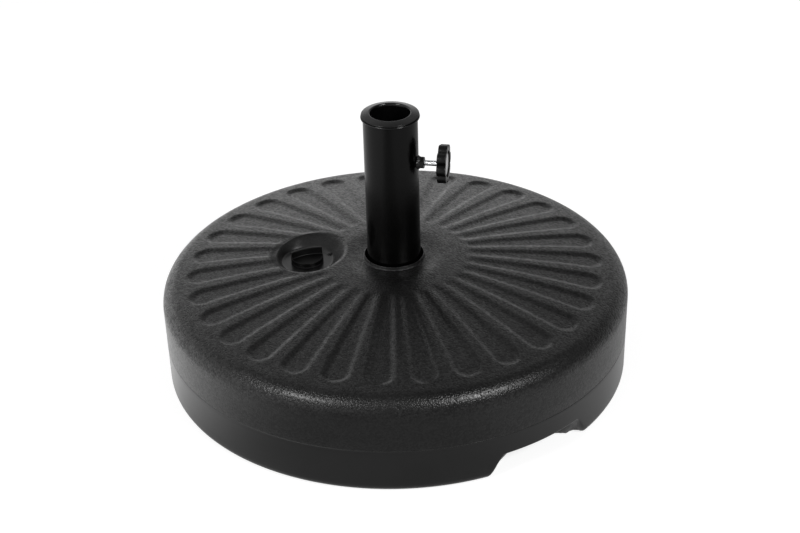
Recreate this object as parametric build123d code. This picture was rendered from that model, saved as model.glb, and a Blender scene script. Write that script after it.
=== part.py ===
from build123d import *
import math
import os

# A fillable patio umbrella base: a round ballast tank with a fluted crown, a steel pole tube
# that stands in its middle, a clamp screw with a knob, and a screw cap over the filler.
# Millimetres, Z up from the ground, the pole on Z, the knob towards +X, the filler towards -X.

# Tank shell
tank_radius = 250.0           # widest, where wall and crown would meet without the rounding
wall_lean = 2.0               # the wall's foot stands in from there by this much
rim_height = 107.2            # the same corner's height
rim_round = 20.0
crown_height = 132.4          # crown at the edge of the pole well
foot_bevel = 6.0
tank_wall = 3.0
underside_rise = 4.0          # the underside stands this far off the ground inside the foot ring
foot_ring_width = 44.0
foot_ring_slope = 4.0

# Flutes in the crown
flute_count = 30
flute_half_angle = 3.4        # degrees between a flute's centre line and the middle of its wall
flute_start = 78.0            # distance from the pole axis to a flute's inner end
flute_margin = 28.0           # from a flute's round outer end to the widest circle
flute_start_depth = 0.4
flute_end_depth = 2.3
flute_draft = 45.0            # degrees from upright
flute_overcut = 4.0           # height of a flute's cutter above its floor

# Hand grips under the rim
grip_directions = (-45.0, 135.0)
grip_top_width = 78.0
grip_foot_width = 136.0
grip_height = 25.7
grip_depth = 45.0
grip_round = 15.0

# Filler dish, neck and vent
filler_distance = 95.8        # from the pole axis
dish_depth = 16.4             # from the crown at the well down to the dish's floor
dish_floor_radius = 28.5
dish_slope = 41.5             # degrees above level
dish_rim_radius = 44.0        # flutes stop here
dish_rim_shift = 4.6          # the rim lies nearer the pole than the floor, as the crown rises that way
neck_radius = 15.0
neck_length = 18.0
vent_radius = 1.5
vent_distance = 25.5          # from the middle of the dish
vent_direction = 36.0

# Filler cap and its seal
cap_radius = 18.4
cap_top_radius = 17.4
cap_height = 4.6
cap_pocket_depth = 0.8
cap_pocket_margin = 1.2
grip_bar_height = 8.2
grip_bar_margin = 0.3         # from its ends to the edge of the cap's top
grip_bar_width = 7.6          # at its ends
grip_bar_waist = 3.4          # in its middle
grip_bar_direction = 29.6
plug_length = 11.0
plug_wall = 2.6
plug_clearance = 0.35
seal_thickness = 1.2
seal_width = 2.6

# Pole tube and the fixing in its foot
tube_radius = 28.5
tube_wall = 1.5
well_radius = 30.0            # at the crown
well_round = 9.0
well_clearance = 0.15         # round the tube's foot
well_floor_height = 16.0
well_grip_height = 30.0       # length of the tube's foot that the well holds
end_plate_thickness = 3.0
weld_gap = 0.1

base_bolt_radius = 4.0
base_bolt_length = 16.0
base_bolt_head_width = 13.0
base_bolt_head_height = 5.3
base_nut_height = 6.5
base_washer_radius = 12.0
base_washer_thickness = 1.6
bolt_hole_clearance = 0.5
bolt_pocket_radius = 24.0
bolt_pocket_height = 12.0
thread_clearance = 0.05

# Top collar, and the seat for the pole's end in the tube's foot
collar_top = 300.0
collar_rim = 6.0              # height of the collar above the tube's end
collar_radius = 31.1
bore_radius = 21.0
collar_skirt = 4.2            # how far the collar reaches down outside the tube
collar_sleeve = 28.0          # how far its sleeve reaches down inside the tube
collar_clearance = 0.1
collar_fall = 2.8             # slope of the collar's top, from the bore out to its rim
collar_bevel = 1.2
bore_bevel = 2.0
seat_ledge_height = 9.0       # the pole's end stands on this ledge, clear of the nut
seat_ledge_radius = 15.0      # hole in the ledge
seat_bore_length = 30.0
seat_mouth_length = 5.0
seat_lip = 1.4                # wall left at the seat's mouth

# Clamp screw, its nut and its knob
clamp_drop = 57.0             # from the collar's top down to the screw
screw_radius = 3.0
screw_length = 30.0
screw_tip = 1.0
screw_head_width = 10.0
screw_head_height = 4.0
clamp_nut_width = 11.0
clamp_nut_reach = 6.3         # from the tube's skin to the nut's outer face
weld_collar_radius = 7.2
weld_collar_reach = 3.6
clamp_hole_clearance = 0.4
knob_gap = 14.4               # between nut and knob
knob_radius = 20.3
knob_thickness = 10.4
knob_lobes = 8
knob_lobe_radius = 6.0
knob_valley_radius = 17.2
knob_edge_round = 0.8
knob_web = 3.5                # material behind the screw's head
knob_socket_clearance = 0.1
knob_cap_radius = 12.4
knob_cap_sink = 1.0           # its face lies this far below the knob's
knob_cap_thickness = 1.8
knob_cap_crown = 0.5
knob_cap_clearance = 0.2
knob_groove_width = 1.6
knob_groove_depth = 1.2


def ring(outer, inner, bottom, top):
    disc = Cylinder(outer, top - bottom, align=(Align.CENTER, Align.CENTER, Align.MIN))
    hole = Cylinder(inner, top - bottom, align=(Align.CENTER, Align.CENTER, Align.MIN))
    return Pos(0, 0, bottom) * (disc - hole)


def post(radius, bottom, top):
    rod = Cylinder(radius, top - bottom, align=(Align.CENTER, Align.CENTER, Align.MIN))
    return Pos(0, 0, bottom) * rod


def hexagon(width, bottom, top):
    outline = RegularPolygon(width / 2, 6, major_radius=False)
    return Pos(0, 0, bottom) * extrude(outline, top - bottom)


def turned(edges, roundings):
    """Revolve a half section about the pole axis after rounding the named corners."""
    section = make_face(edges)
    for radius, distance, height in roundings:
        corner = section.vertices().sort_by_distance((distance, height, 0))[0]
        section = fillet(corner, radius)
    return revolve(Plane.XZ * section, Axis.Z)


crown_fall = crown_height - rim_height
crown_centre = (crown_height + rim_height + (well_radius**2 - tank_radius**2) / crown_fall) / 2
crown_radius = math.hypot(tank_radius, rim_height - crown_centre)


def crown_at(distance):
    """Height of the crown, which is part of a ball, at a distance from the pole axis."""
    return crown_centre + math.sqrt(crown_radius**2 - distance**2)


def crown_arc(near, far):
    middle = (near + far) / 2
    return ThreePointArc((near, crown_at(near)), (middle, crown_at(middle)), (far, crown_at(far)))


foot_radius = tank_radius - wall_lean
foot_inner = foot_radius - foot_ring_width
flute_end = tank_radius - flute_margin
dish_floor_height = crown_height - dish_depth
well_foot_radius = tube_radius + well_clearance
well_taper_height = well_floor_height + well_grip_height


def tank_body():
    crown = crown_arc(well_radius, tank_radius)
    well = Polyline(
        (well_radius, crown_height),
        (well_foot_radius, well_taper_height),
        (well_foot_radius, well_floor_height),
        (0, well_floor_height),
    )
    lean = wall_lean / rim_height
    underside = Polyline(
        (0, well_floor_height),
        (0, bolt_pocket_height),
        (bolt_pocket_radius, bolt_pocket_height),
        (bolt_pocket_radius, underside_rise),
        (foot_inner - foot_ring_slope, underside_rise),
        (foot_inner, 0),
        (foot_radius - foot_bevel, 0),
        (foot_radius + foot_bevel * lean, foot_bevel),
        (tank_radius, rim_height),
    )
    return turned(
        [*crown.edges(), *well.edges(), *underside.edges()],
        [
            (rim_round, tank_radius, rim_height),
            (well_round, well_radius, crown_height),
        ],
    )


def tank_cavity():
    """The space for the ballast: the outer skin set in by the wall, and clear of the flutes."""
    roof = tank_wall + flute_end_depth
    well_edge = well_radius + well_round
    roof_edge = tank_radius - rim_round
    roof_middle = (well_edge + roof_edge) / 2
    outline = Polyline(
        (well_edge, crown_at(well_edge) - roof),
        (well_radius + tank_wall, crown_at(well_edge) - roof - well_round + tank_wall),
        (well_foot_radius + tank_wall, well_taper_height),
        (well_foot_radius + tank_wall, bolt_pocket_height + tank_wall),
        (bolt_pocket_radius + tank_wall, underside_rise + tank_wall),
        (foot_inner - foot_ring_slope, underside_rise + tank_wall),
        (foot_inner, tank_wall),
        (foot_radius - foot_bevel - tank_wall, tank_wall),
        (foot_radius - tank_wall, foot_bevel + tank_wall),
        (tank_radius - tank_wall, rim_height - rim_round),
        (roof_edge, crown_at(roof_edge) - roof),
        (roof_middle, crown_at(roof_middle) - roof),
        close=True,
    )
    space = turned(outline.edges(), [])
    space -= dish(tank_wall)
    space -= at_filler(post(neck_radius + tank_wall, dish_floor_height - neck_length, crown_height))
    for direction in grip_directions:
        space -= Rot(0, 0, direction) * hand_grip(tank_wall)
    return space


def flute_outline(grow, length):
    """A flute seen square to its floor: a wedge with a round outer end."""
    spread = math.tan(math.radians(flute_half_angle))
    near = flute_start * spread + grow
    end_radius = flute_end * spread / (1 + spread) + grow
    middle = length - end_radius + grow
    side = Polyline((middle, -end_radius), (-grow, -near), (-grow, near), (middle, end_radius))
    tip = ThreePointArc((middle, end_radius), (middle + end_radius, 0), (middle, -end_radius))
    return make_face([*side.edges(), *tip.edges()])


def flute():
    low = Vector(flute_start, 0, crown_at(flute_start) - flute_start_depth)
    high = Vector(flute_end, 0, crown_at(flute_end) - flute_end_depth)
    along = (high - low).normalized()
    floor = Plane(origin=low, x_dir=along, z_dir=along.cross(Vector(0, 1, 0)))
    lean = math.tan(math.radians(flute_draft))
    half_wall = (flute_start_depth + flute_end_depth) / 2 * lean / 2
    length = (high - low).length
    bottom = floor * flute_outline(-half_wall, length)
    top = floor * Pos(0, 0, flute_overcut) * flute_outline(flute_overcut * lean - half_wall, length)
    return loft([bottom, top], ruled=True)


def hand_grip(grow=0.0):
    """A finger recess that opens outwards and down, along +X."""
    half_top = grip_top_width / 2 + grow
    half_foot = grip_foot_width / 2 + grow
    height = grip_height + grow
    below = -grip_height
    splay = (half_foot - half_top) * below / grip_height
    outline = Polyline(
        (-half_foot + splay, below),
        (-half_top, height),
        (half_top, height),
        (half_foot - splay, below),
        close=True,
    )
    section = make_face(outline)
    upper = section.vertices().group_by(Axis.Y)[-1]
    section = fillet(upper, grip_round + grow)
    inner = foot_radius - grip_depth - grow
    place = Plane(origin=(inner, 0, 0), x_dir=(0, 1, 0), z_dir=(1, 0, 0))
    return extrude(place * section, 2 * grip_depth)


def at_filler(shape):
    return Pos(-filler_distance, 0, 0) * shape


def dish(grow=0.0):
    """The hollow round the filler cap, with a level floor and a sloping wall."""
    spread = dish_depth / math.tan(math.radians(dish_slope))
    bottom = dish_floor_height - grow
    widen = grow / math.sin(math.radians(dish_slope)) - grow / math.tan(math.radians(dish_slope))
    low = dish_floor_radius + widen
    cone = Cone(
        low,
        low + spread * (dish_depth + grow) / dish_depth,
        dish_depth + grow,
        align=(Align.CENTER, Align.CENTER, Align.MIN),
    )
    return at_filler(Pos(0, 0, bottom) * Rot(0, 0, 180) * cone)


def tank():
    dish_rim = at_filler(Pos(dish_rim_shift, 0, 0) * post(dish_rim_radius, 0, crown_height))
    step = 360 / flute_count
    flutes = [Rot(0, 0, step * index) * flute() for index in range(flute_count)]
    flutes = [cutter - dish_rim for cutter in flutes]
    shell = tank_body() - flutes - dish()
    neck_end = dish_floor_height - neck_length
    shell -= at_filler(post(neck_radius, neck_end - tank_wall, dish_floor_height))
    vent = post(vent_radius, dish_floor_height - 2 * tank_wall, dish_floor_height)
    shell -= at_filler(Rot(0, 0, vent_direction) * Pos(vent_distance, 0, 0) * vent)
    for direction in grip_directions:
        shell -= Rot(0, 0, direction) * hand_grip()
    shell -= post(base_bolt_radius + bolt_hole_clearance, 0, crown_height)
    return shell - tank_cavity()


cap_bottom = dish_floor_height + seal_thickness
plug_radius = neck_radius - plug_clearance


def cap_seal():
    bottom = dish_floor_height
    return at_filler(ring(cap_radius - plug_clearance, cap_radius - plug_clearance - seal_width,
                          bottom, cap_bottom))


def grip_bar():
    """The cap's finger bar: waisted sides, ends that follow the cap's edge."""
    half = cap_top_radius - grip_bar_margin
    waist = grip_bar_waist / 2
    end = grip_bar_width / 2
    near = ThreePointArc((-half, -end), (0, -waist), (half, -end))
    far = ThreePointArc((half, end), (0, waist), (-half, end))
    ends = [Line((half, -end), (half, end)), Line((-half, end), (-half, -end))]
    outline = make_face([*near.edges(), *far.edges(), *ends])
    bar = extrude(outline, cap_height + grip_bar_height)
    return bar & Cylinder(half, 2 * (cap_height + grip_bar_height))


def filler_cap():
    disc = Cone(cap_radius, cap_top_radius, cap_height, align=(Align.CENTER, Align.CENTER, Align.MIN))
    pocket = post(cap_top_radius - cap_pocket_margin, cap_height - cap_pocket_depth, cap_height)
    plug = ring(plug_radius, plug_radius - plug_wall, -plug_length, 0)
    cap = disc - pocket + grip_bar() + plug
    return at_filler(Pos(0, 0, cap_bottom) * Rot(0, 0, grip_bar_direction) * cap)


def along_clamp(shape):
    """Turn a shape built about Z so that it points along +X at the clamp's height."""
    return Pos(0, 0, clamp_height) * Rot(0, 90, 0) * shape


tube_top = collar_top - collar_rim
clamp_height = collar_top - clamp_drop
clamp_nut_face = tube_radius + clamp_nut_reach
knob_back = clamp_nut_face + knob_gap
knob_face = knob_back + knob_thickness
screw_seat = knob_back + knob_web
tube_inner = tube_radius - tube_wall
plate_top = well_floor_height + end_plate_thickness


def pole_tube():
    tube = ring(tube_radius, tube_inner, well_floor_height, tube_top)
    return tube - along_clamp(post(screw_radius + clamp_hole_clearance, 0, 2 * tube_radius))


def tube_end_plate():
    hole = base_bolt_radius + bolt_hole_clearance
    return ring(tube_inner - weld_gap, hole, well_floor_height, plate_top)


def end_plate_nut():
    body = hexagon(base_bolt_head_width, plate_top, plate_top + base_nut_height)
    return body - post(base_bolt_radius + thread_clearance, plate_top, plate_top + base_nut_height)


def base_washer():
    top = bolt_pocket_height
    hole = base_bolt_radius + bolt_hole_clearance
    return ring(base_washer_radius, hole, top - base_washer_thickness, top)


def base_bolt():
    seat = bolt_pocket_height - base_washer_thickness
    head = hexagon(base_bolt_head_width, seat - base_bolt_head_height, seat)
    return head + post(base_bolt_radius, seat, seat + base_bolt_length)


def top_collar():
    skirt_inner = tube_radius + collar_clearance
    sleeve_outer = tube_inner - collar_clearance
    collar_foot = tube_top - collar_skirt
    collar_edge = collar_top - collar_fall
    section = Polyline(
        (bore_radius, tube_top - collar_sleeve),
        (sleeve_outer, tube_top - collar_sleeve),
        (sleeve_outer, tube_top),
        (skirt_inner, tube_top),
        (skirt_inner, collar_foot),
        (collar_radius - collar_bevel, collar_foot),
        (collar_radius, collar_foot + collar_bevel),
        (collar_radius, collar_edge - collar_bevel),
        (collar_radius - collar_bevel, collar_edge),
        (bore_radius + bore_bevel, collar_top),
        (bore_radius, collar_top - bore_bevel),
        close=True,
    )
    return turned(section.edges(), [])


def pole_seat():
    """A ring in the tube's foot that centres the pole, with a ledge under the pole's end."""
    outer = tube_inner - collar_clearance
    ledge = plate_top + seat_ledge_height
    bore_end = ledge + seat_bore_length
    mouth = bore_end + seat_mouth_length
    section = Polyline(
        (seat_ledge_radius, plate_top),
        (outer, plate_top),
        (outer, mouth),
        (outer - seat_lip, mouth),
        (bore_radius, bore_end),
        (bore_radius, ledge),
        (seat_ledge_radius, ledge),
        close=True,
    )
    return turned(section.edges(), [])


def clamp_nut():
    body = hexagon(clamp_nut_width, 0, clamp_nut_face)
    weld = Pos(0, 0, tube_radius + weld_collar_reach / 2) * Cone(
        weld_collar_radius,
        clamp_nut_width / 2,
        weld_collar_reach,
    )
    weld += post(weld_collar_radius, 0, tube_radius)
    nut = body + weld - post(screw_radius + thread_clearance, 0, clamp_nut_face)
    return along_clamp(nut) - post(tube_radius, 0, tube_top)


def clamp_screw():
    head = hexagon(screw_head_width, screw_seat, screw_seat + screw_head_height)
    end = screw_seat - screw_length
    shank = post(screw_radius, end + screw_tip, screw_seat)
    tip = Cone(
        screw_radius - screw_tip,
        screw_radius,
        screw_tip,
        align=(Align.CENTER, Align.CENTER, Align.MIN),
    )
    return along_clamp(head + shank + Pos(0, 0, end) * tip)


knob_cap_face = knob_face - knob_cap_sink
knob_cap_seat = knob_cap_face - knob_cap_thickness


def knob_outline():
    """Lobes set round a disc, with a valley at the top."""
    disc = Circle(knob_valley_radius)
    lobe = Pos(knob_radius - knob_lobe_radius, 0) * Circle(knob_lobe_radius)
    step = 360 / knob_lobes
    return disc + [Rot(0, 0, step * (index + 0.5)) * lobe for index in range(knob_lobes)]


def clamp_knob():
    grip = Pos(0, 0, knob_back) * extrude(knob_outline(), knob_thickness)
    rims = grip.faces().filter_by(Axis.Z).edges()
    grip = chamfer(rims, knob_edge_round)
    hole = post(screw_radius + knob_socket_clearance, knob_back, knob_face)
    socket = hexagon(screw_head_width + 2 * knob_socket_clearance, screw_seat, knob_face)
    seat = post(knob_cap_radius + knob_cap_clearance, knob_cap_seat, knob_face)
    groove_inner = knob_cap_radius + knob_cap_clearance
    groove = ring(groove_inner + knob_groove_width, groove_inner, knob_face - knob_groove_depth, knob_face)
    return along_clamp(grip - hole - socket - seat - groove)


def knob_cap():
    disc = post(knob_cap_radius, knob_cap_seat, knob_cap_face)
    edge = disc.faces().sort_by(Axis.Z)[-1].edges()
    return along_clamp(chamfer(edge, knob_cap_crown, 3 * knob_cap_crown))


sub_parts = {
    "tank": tank,
    "filler_cap": filler_cap,
    "cap_seal": cap_seal,
    "pole_tube": pole_tube,
    "tube_end_plate": tube_end_plate,
    "end_plate_nut": end_plate_nut,
    "base_bolt": base_bolt,
    "base_washer": base_washer,
    "top_collar": top_collar,
    "pole_seat": pole_seat,
    "clamp_nut": clamp_nut,
    "clamp_screw": clamp_screw,
    "clamp_knob": clamp_knob,
    "knob_cap": knob_cap,
}

os.makedirs("parts", exist_ok=True)
for name, make in sub_parts.items():
    shape = make()
    export_step(shape, f"parts/{name}.step")
    print(name, len(shape.solids()), round(shape.volume / 1000, 2), "cm3")
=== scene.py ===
import math

import bmesh
import bpy
import numpy as np
from mathutils import Matrix, Vector


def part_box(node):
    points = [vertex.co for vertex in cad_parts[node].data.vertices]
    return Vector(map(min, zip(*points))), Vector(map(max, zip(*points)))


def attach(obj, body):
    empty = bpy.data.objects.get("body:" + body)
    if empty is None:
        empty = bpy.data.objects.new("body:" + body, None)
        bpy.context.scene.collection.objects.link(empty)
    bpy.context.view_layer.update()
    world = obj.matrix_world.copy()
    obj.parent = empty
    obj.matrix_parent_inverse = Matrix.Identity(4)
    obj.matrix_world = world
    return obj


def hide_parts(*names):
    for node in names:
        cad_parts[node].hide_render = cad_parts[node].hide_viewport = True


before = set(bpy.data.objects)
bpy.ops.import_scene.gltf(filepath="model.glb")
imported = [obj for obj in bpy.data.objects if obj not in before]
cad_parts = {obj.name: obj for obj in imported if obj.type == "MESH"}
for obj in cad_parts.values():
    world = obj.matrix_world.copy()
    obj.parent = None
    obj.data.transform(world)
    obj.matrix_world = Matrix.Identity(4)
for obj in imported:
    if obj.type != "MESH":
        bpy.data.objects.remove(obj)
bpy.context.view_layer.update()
scene = bpy.context.scene
scene.view_settings.view_transform = "Standard"
print("frame loaded:", len(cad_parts), "solids")

# Shapes are worked out in millimetres in the frame's own axes and go into the meshes as metres.
mmPerMetre = 1000.0
fullTurn = 2 * np.pi


# A solid's lowest and highest corners in millimetres.
def boxOf(node):
    low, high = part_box(node)
    return np.array(low) * mmPerMetre, np.array(high) * mmPerMetre


tubeLow, tubeHigh = boxOf("pole_tube")
capLow, capHigh = boxOf("filler_cap")
sealLow, sealHigh = boxOf("cap_seal")
collarTop = boxOf("top_collar")[1][2]
nutFace = boxOf("clamp_nut")[1][0]
screwLow, screwHigh = boxOf("clamp_screw")
knobLow, knobHigh = boxOf("clamp_knob")
knobCapLow, knobCapHigh = boxOf("knob_cap")
boltLow, boltHigh = boxOf("base_bolt")
fillerX = (capLow[0] + capHigh[0]) / 2
clampZ = (screwLow[2] + screwHigh[2]) / 2


# 3x² - 2x³ between 0 and 1, level outside
def smooth(x):
    x = np.clip(x, 0, 1)
    return x * x * (3 - 2 * x)


# the lower of two heights, with the corner between them eased over a width
def softMin(a, b, width):
    share = np.clip(0.5 + (b - a) / (2 * width), 0, 1)
    return b + (a - b) * share - width * share * (1 - share)


# the higher of the two, eased in the same way
def softMax(a, b, width):
    return -softMin(-a, -b, width)


# A path of straight sides whose corners (distance, height, radius) are arcs that touch both sides.
def outline(corners, closed=True, arcStep=12):
    spots = np.array([corner[:2] for corner in corners], float)
    path = []
    for k, (distance, height, radius) in enumerate(corners):
        spot = spots[k]
        if radius == 0 or (not closed and k in (0, len(corners) - 1)):
            path.append(spot[None])
            continue
        back = spots[k - 1] - spot
        ahead = spots[(k + 1) % len(spots)] - spot
        back, ahead = back / np.hypot(*back), ahead / np.hypot(*ahead)
        half = math.acos(np.clip(back @ ahead, -1, 1)) / 2
        centre = spot + (back + ahead) / np.hypot(*(back + ahead)) * radius / math.sin(half)
        first = spot + back * radius / math.tan(half) - centre
        last = spot + ahead * radius / math.tan(half) - centre
        start = math.atan2(first[1], first[0])
        sweep = (math.atan2(last[1], last[0]) - start + np.pi) % fullTurn - np.pi
        angles = start + sweep * np.linspace(0, 1, 2 + int(abs(math.degrees(sweep)) / arcStep))
        path.append(centre + radius * np.stack([np.cos(angles), np.sin(angles)], 1))
    path = np.vstack(path)
    return np.vstack([path, path[:1]]) if closed else path


# A profile of (distance, height) turned about an upright axis: x = distance cos a, y = distance sin a.
def spin(profile, columns, axisX=0.0):
    angle = np.linspace(0, fullTurn, columns + 1)
    distance, height = profile[:, :1], profile[:, 1:]
    return np.stack([axisX + distance * np.cos(angle), distance * np.sin(angle), height + 0 * angle], -1)


# The same about the clamp screw's axis, which lies along X: y = distance sin a, z = distance cos a.
def aroundScrew(along, distance, angle):
    along, distance, angle = np.broadcast_arrays(along, distance, angle)
    return np.stack([along, distance * np.sin(angle), clampZ + distance * np.cos(angle)], -1)


def spinOnScrew(profile, columns):
    return aroundScrew(profile[:, 1:], profile[:, :1], np.linspace(0, fullTurn, columns + 1))


# Half width of a hexagon at an angle, with its corners at 0, 60, 120 degrees.
def hexReach(width, angle):
    return width / 2 / np.cos((angle % (fullTurn / 6)) - fullTurn / 12)


# Each sheet is a grid of points that closes on itself; its faces are turned to look outwards.
def makePiece(name, sheets, finish, body, nodes=(), sharp=38):
    corners, faces, first = [], [], 0
    for sheet in sheets:
        rows, columns = sheet.shape[:2]
        index = np.arange(rows * columns).reshape(rows, columns)
        quads = np.stack([index[:-1, :-1], index[:-1, 1:], index[1:, 1:], index[1:, :-1]], -1).reshape(-1, 4)
        points = sheet.reshape(-1, 3)
        a, b, c, d = points[quads.T]
        volume = np.sum(a * np.cross(b, c)) + np.sum(a * np.cross(c, d))
        corners.append(points)
        faces.append(first + (quads if volume > 0 else quads[:, ::-1]))
        first += rows * columns
    mesh = bpy.data.meshes.new(name)
    mesh.from_pydata((np.vstack(corners) / mmPerMetre).tolist(), [], np.vstack(faces).tolist())
    solid = bmesh.new()
    solid.from_mesh(mesh)
    bmesh.ops.remove_doubles(solid, verts=solid.verts, dist=1e-6)
    bmesh.ops.dissolve_degenerate(solid, dist=1e-7, edges=solid.edges)
    solid.to_mesh(mesh)
    solid.free()
    mesh.shade_smooth()
    mesh.set_sharp_from_angle(angle=math.radians(sharp))
    mesh.materials.append(finish)
    piece = bpy.data.objects.new(name, mesh)
    scene.collection.objects.link(piece)
    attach(piece, body)
    if nodes:
        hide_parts(*nodes)
    print(name, len(mesh.polygons), "faces")
    return piece


# One value socket. Arithmetic on it adds Math nodes to its board.
class Wire:
    def __init__(self, board, socket):
        self.board, self.socket = board, socket

    def math(self, operation, *values):
        return self.board.node("ShaderNodeMath", {"operation": operation}, dict(enumerate(values)))

    def __add__(self, other):
        return self.math("ADD", self, other)

    def __sub__(self, other):
        return self.math("SUBTRACT", self, other)

    def __rsub__(self, other):
        return self.math("SUBTRACT", other, self)

    def __mul__(self, other):
        return self.math("MULTIPLY", self, other)

    def __pow__(self, other):
        return self.math("POWER", self, other)

    __radd__, __rmul__ = __add__, __mul__

    # a smooth step from 0 at the low value to 1 at the high one
    def rise(self, low, high):
        limits = {"From Min": low, "From Max": high, "Value": self}
        return self.board.node("ShaderNodeMapRange", {"interpolation_type": "SMOOTHSTEP"}, limits)

    def most(self, other):
        return self.math("MAXIMUM", self, other)


# A node tree. One method adds any node: its type, its settings, then its sockets' values or links.
class Board:
    def __init__(self, tree):
        self.tree = tree
        tree.nodes.clear()

    def node(self, kind, settings={}, inputs={}, output=0):
        made = self.tree.nodes.new(kind)
        for name, value in settings.items():
            if name == "stops":
                ramp = made.color_ramp.elements
                while len(ramp) < len(value):
                    ramp.new(0.5)
                for element, (place, shade) in zip(ramp, value):
                    element.position, element.color = place, (shade, shade, shade, 1)
            else:
                setattr(made, name, value)
        for name, value in inputs.items():
            if isinstance(value, Wire):
                self.tree.links.new(value.socket, made.inputs[name])
            else:
                made.inputs[name].default_value = value
        return Wire(self, made.outputs[output])

    def place(self):
        return self.node("ShaderNodeTexCoord", output="Object")

    def split(self, vector):
        made = self.node("ShaderNodeSeparateXYZ", {}, {0: vector}).socket.node
        return [Wire(self, socket) for socket in made.outputs]

    def noise(self, place, scale, detail=3.0, roughness=0.5, output=0):
        values = {"Vector": place, "Scale": scale, "Detail": detail, "Roughness": roughness}
        return self.node("ShaderNodeTexNoise", {}, values, output)

    def mixColour(self, share, low, high):
        return self.node("ShaderNodeMix", {"data_type": "RGBA"}, {0: share, 6: low, 7: high}, 2)

    def bump(self, height, distance):
        return self.node("ShaderNodeBump", {}, {"Height": height, "Distance": distance, "Strength": 1.0})

    # a place shifted by noise, by up to half the amount each way
    def moved(self, place, amount, scale):
        drift = self.noise(place, scale, 2.0, output="Color")
        centred = self.node("ShaderNodeVectorMath", {"operation": "SUBTRACT"}, {0: drift, 1: (0.5, 0.5, 0.5)})
        shift = self.node("ShaderNodeVectorMath", {"operation": "SCALE"}, {0: centred, "Scale": amount})
        return self.node("ShaderNodeVectorMath", {"operation": "ADD"}, {0: place, 1: shift})


def newFinish(name):
    finish = bpy.data.materials.new(name)
    finish.use_nodes = True
    return finish, Board(finish.node_tree)


def principled(board, values):
    shader = board.node("ShaderNodeBsdfPrincipled", {}, values)
    outlet = board.tree.nodes.new("ShaderNodeOutputMaterial")
    board.tree.links.new(shader.socket, outlet.inputs["Surface"])


def grey(level):
    return (level, level, level, 1)


# Most patches are noise that passes from none to all between these two levels.
patchRange = (0.3, 0.7)

# Black moulded plastic: satin below the parting line and on the dish's floor, pebble grain elsewhere. The
# pebbles differ in gloss. They are shallower on the wall than on the crown, and duller on the dish's wall.
tankFinish = dict(
    dark=0.0015, light=0.0035, broadScale=14.0, broadRough=0.10, fineScale=1900.0, fineShare=0.06,
    grainSize=0.0018, grainDepth=0.00042, grainDrift=0.0012, driftScale=300.0, grainSoftness=0.3,
    wallGrain=0.45, crownFrom=0.080, crownTo=0.100, partingHalf=0.0004, floorInside=0.001, floorOutside=0.003,
    satinRoughness=0.22, grainRoughness=0.34, specular=0.28, glossLoss=0.55, glossSpread=1.1,
    coatRoughness=0.28, coatIor=1.35, dishRadius=0.038, dishRim=0.043, dishDull=0.75, dishRough=0.3,
    scuffHeight=0.012, scuffScale=90.0, scuffFrom=0.58, scuffTo=0.72, scuffShade=0.06, scuffShare=0.5,
    scuffRough=0.12,
)


def tankPlastic():
    spec = tankFinish
    finish, board = newFinish("tankPlastic")
    place = board.place()
    x, y, z = board.split(place)
    parting, dishFloor = tank["partingHeight"] / mmPerMetre, dish["floorRadius"] / mmPerMetre
    fromFiller = ((x - fillerX / mmPerMetre) ** 2 + y * y) ** 0.5
    grained = z.rise(parting - spec["partingHalf"], parting + spec["partingHalf"])
    grained = grained * fromFiller.rise(dishFloor - spec["floorInside"], dishFloor + spec["floorOutside"])
    onCrown = z.rise(spec["crownFrom"], spec["crownTo"]) * fromFiller.rise(dishFloor, spec["dishRadius"])
    depth = grained * (spec["wallGrain"] + (1 - spec["wallGrain"]) * onCrown)
    loose = board.moved(place, spec["grainDrift"], spec["driftScale"])
    pebbles = {"Vector": loose, "Scale": 1 / spec["grainSize"]}
    cells = board.node("ShaderNodeTexVoronoi", {"feature": "SMOOTH_F1"},
                       {**pebbles, "Smoothness": spec["grainSoftness"]}, "Distance")
    own = board.node("ShaderNodeTexVoronoi", {}, pebbles, "Color")
    lot = board.split(own)[0]
    pebble = (1 - cells) * depth
    fine = board.noise(place, spec["fineScale"], 2.0)
    broad = board.noise(place, spec["broadScale"], 4.0)
    worn = board.noise(place, spec["scuffScale"], 5.0, 0.7).rise(spec["scuffFrom"], spec["scuffTo"])
    scuffed = worn * (1 - z.rise(0.0, spec["scuffHeight"]))
    shade = board.mixColour(broad.rise(*patchRange), grey(spec["dark"]), grey(spec["light"]))
    shade = board.mixColour(scuffed * spec["scuffShare"], shade, grey(spec["scuffShade"]))
    onDishWall = grained * (1 - fromFiller.rise(spec["dishRadius"], spec["dishRim"]))
    gloss = 1 - depth * (spec["glossLoss"] + spec["glossSpread"] * (lot - 0.5))
    gloss = gloss * (1 - spec["dishDull"] * onDishWall)
    roughness = spec["satinRoughness"] + (spec["grainRoughness"] - spec["satinRoughness"]) * grained
    roughness = roughness + (broad - 0.5) * spec["broadRough"] + scuffed * spec["scuffRough"]
    roughness = roughness + onDishWall * spec["dishRough"]
    principled(board, {"Base Color": shade, "Roughness": roughness, "Specular IOR Level": spec["specular"],
                       "Coat Weight": gloss, "Coat Roughness": spec["coatRoughness"],
                       "Coat IOR": spec["coatIor"],
                       "Normal": board.bump(pebble + fine * spec["fineShare"], spec["grainDepth"])})
    return finish


# Smooth satin plastic with a faint flow pattern and fine scratches: filler cap, collar, knob and seat.
satinFinish = dict(flowScale=60.0, flowRough=0.12, fineScale=1600.0, fineDepth=0.00005,
                   scratchScale=420.0, scratchDrift=0.004, driftScale=40.0, scratchFrom=0.62, scratchTo=0.78,
                   scratchShare=0.25, scratchRough=0.06)


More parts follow.
